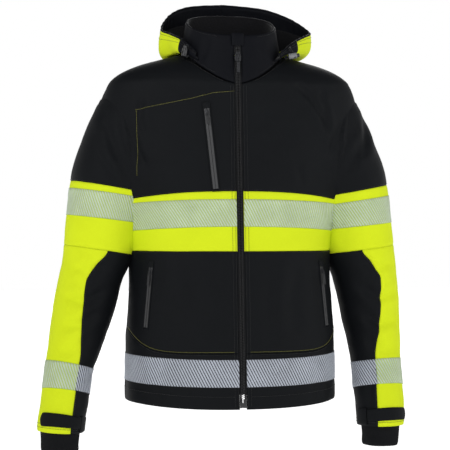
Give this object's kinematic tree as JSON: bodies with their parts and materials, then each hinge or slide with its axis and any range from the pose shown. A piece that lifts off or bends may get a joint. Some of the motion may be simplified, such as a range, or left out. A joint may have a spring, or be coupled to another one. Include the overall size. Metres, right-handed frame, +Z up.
{
  "type": "hooded high-visibility softshell work jacket",
  "caption": "Hooded zip-front work jacket with a fluorescent chest band, segmented reflective tapes, zipped pockets and strap cuffs, in its worn shape.",
  "frame": {"origin": "middle of the top of the hanger loop inside the back of the neck, where the garment hangs", "axes": "+X to the wearer's left, +Y to the wearer's back, +Z up; the zipped front faces -Y"},
  "size_m": [0.7002, 0.2933, 0.853],
  "materials": {
    "black_softshell": "matte bonded softshell",
    "yellow_softshell": "fluorescent matte softshell",
    "navy_black_softshell": "matte bonded softshell",
    "reflective_tape": "segmented retroreflective film",
    "zip_black": "moulded coil and woven tape",
    "zip_grey": "moulded coil with a matte film",
    "slider_metal": "dark plated zinc",
    "pull_grey": "moulded grip"
  },
  "bodies": {
    "jacket": {"front_right_upper": "black_softshell", "front_right_band": "yellow_softshell", "front_right_lower": "black_softshell", "front_right_hem": "black_softshell", "chest_tape_right": "reflective_tape", "hem_tape_right": "reflective_tape", "front_left_upper": "black_softshell", "front_left_band": "yellow_softshell", "front_left_lower": "black_softshell", "front_left_hem": "black_softshell", "chest_tape_left": "reflective_tape", "hem_tape_left": "reflective_tape", "back_upper": "black_softshell", "back_band": "yellow_softshell", "back_lower": "black_softshell", "chest_tape_back": "reflective_tape", "hem_tape_back": "reflective_tape", "collar": "navy_black_softshell", "chin_guard": "navy_black_softshell", "hanger_loop": "zip_black", "main_zip_right": "zip_black", "main_zip_left": "zip_black", "chest_pocket_zip": "zip_grey", "hand_pocket_right_zip": "zip_black", "cord_lock_right": "pull_grey", "hand_pocket_left_zip": "zip_black", "cord_lock_left": "pull_grey", "sleeve_right_cap": "black_softshell", "sleeve_right_band": "yellow_softshell", "sleeve_right_tape": "reflective_tape", "sleeve_right_elbow_outer": "yellow_softshell", "sleeve_right_elbow_inner": "black_softshell", "sleeve_left_cap": "black_softshell", "sleeve_left_band": "yellow_softshell", "sleeve_left_tape": "reflective_tape", "sleeve_left_elbow_outer": "yellow_softshell", "sleeve_left_elbow_inner": "black_softshell"},
    "forearm_right": {"sleeve_right_forearm_outer": "yellow_softshell", "sleeve_right_forearm_inner": "black_softshell", "sleeve_right_forearm_tape": "reflective_tape", "sleeve_right_storm_cuff": "navy_black_softshell"},
    "cuff_tab_right": {"sleeve_right_cuff_tab": "navy_black_softshell"},
    "forearm_left": {"sleeve_left_forearm_outer": "yellow_softshell", "sleeve_left_forearm_inner": "black_softshell", "sleeve_left_forearm_tape": "reflective_tape", "sleeve_left_storm_cuff": "navy_black_softshell"},
    "cuff_tab_left": {"sleeve_left_cuff_tab": "navy_black_softshell"},
    "hood": {"hood_outer": "yellow_softshell", "hood_lining": "navy_black_softshell", "hood_rim": "black_softshell"},
    "main_slider": {"main_slider": "slider_metal"},
    "main_puller": {"main_puller": "slider_metal"},
    "chest_slider": {"chest_pocket_slider": "slider_metal"},
    "chest_puller": {"chest_pocket_puller": "pull_grey"},
    "hand_slider_right": {"hand_pocket_right_slider": "slider_metal"},
    "hand_puller_right": {"hand_pocket_right_puller": "pull_grey"},
    "cord_button_right": {"cord_button_right": "zip_black"},
    "hand_slider_left": {"hand_pocket_left_slider": "slider_metal"},
    "hand_puller_left": {"hand_pocket_left_puller": "pull_grey"},
    "cord_button_left": {"cord_button_left": "zip_black"}
  },
  "joints": [
    {"name": "main_zip", "type": "slide", "parent": "jacket", "child": "main_slider", "axis": [0, 0.0877, 0.9961], "range_m": [-0.614, 0]},
    {"name": "main_puller_swing", "type": "hinge", "parent": "main_slider", "child": "main_puller", "pos_m": [0, -0.13938, -0.02359], "axis": [-1, 0, 0], "range_deg": [0, 150]},
    {"name": "chest_zip", "type": "slide", "parent": "jacket", "child": "chest_slider", "axis": [-0.1003, 0.0884, 0.991], "range_m": [-0.128, 0]},
    {"name": "chest_puller_swing", "type": "hinge", "parent": "chest_slider", "child": "chest_puller", "pos_m": [-0.06027, -0.1494, -0.12739], "axis": [-0.9774, 0.1771, -0.115], "range_deg": [0, 150]},
    {"name": "hand_zip_right", "type": "slide", "parent": "jacket", "child": "hand_slider_right", "axis": [0.091, 0.03, 0.9954], "range_m": [-0.088, 0]},
    {"name": "hand_puller_swing_right", "type": "hinge", "parent": "hand_slider_right", "child": "hand_puller_right", "pos_m": [-0.16458, -0.12753, -0.41948], "axis": [-0.7934, 0.6063, 0.054], "range_deg": [0, 150]},
    {"name": "elbow_right", "type": "hinge", "parent": "jacket", "child": "forearm_right", "pos_m": [-0.276, -0.049, -0.48], "axis": [-1, 0, 0], "range_deg": [0, 100], "deforming": ["sleeve_right_elbow_outer", "sleeve_right_elbow_inner"]},
    {"name": "cuff_tab_right", "type": "hinge", "parent": "forearm_right", "child": "cuff_tab_right", "pos_m": [-0.28696, -0.11305, -0.69729], "axis": [0.1368, 0.0832, 0.9871], "range_deg": [0, 130]},
    {"name": "cord_button_right", "type": "slide", "parent": "jacket", "child": "cord_button_right", "axis": [-0.139, 0, -0.9903], "range_m": [0, 0.003], "stiffness_N_per_m": 300, "springref_m": -0.002},
    {"name": "hand_zip_left", "type": "slide", "parent": "jacket", "child": "hand_slider_left", "axis": [-0.091, 0.03, 0.9954], "range_m": [-0.088, 0]},
    {"name": "hand_puller_swing_left", "type": "hinge", "parent": "hand_slider_left", "child": "hand_puller_left", "pos_m": [0.16458, -0.12753, -0.41948], "axis": [-0.7934, -0.6063, -0.054], "range_deg": [0, 150]},
    {"name": "elbow_left", "type": "hinge", "parent": "jacket", "child": "forearm_left", "pos_m": [0.272, -0.049, -0.48], "axis": [-1, 0, 0], "range_deg": [0, 100], "deforming": ["sleeve_left_elbow_outer", "sleeve_left_elbow_inner"]},
    {"name": "cuff_tab_left", "type": "hinge", "parent": "forearm_left", "child": "cuff_tab_left", "pos_m": [0.24999, -0.11476, -0.69369], "axis": [0.0402, -0.0643, -0.9971], "range_deg": [0, 130]},
    {"name": "cord_button_left", "type": "slide", "parent": "jacket", "child": "cord_button_left", "axis": [-0.9848, 0, -0.174], "range_m": [0, 0.003], "stiffness_N_per_m": 300, "springref_m": -0.002},
    {"name": "hood_fold", "type": "hinge", "parent": "jacket", "child": "hood", "pos_m": [0, 0.01, -0.005], "axis": [-1, 0, 0], "range_deg": [0, 70], "deforming": ["hood_outer", "hood_lining"]}
  ]
}
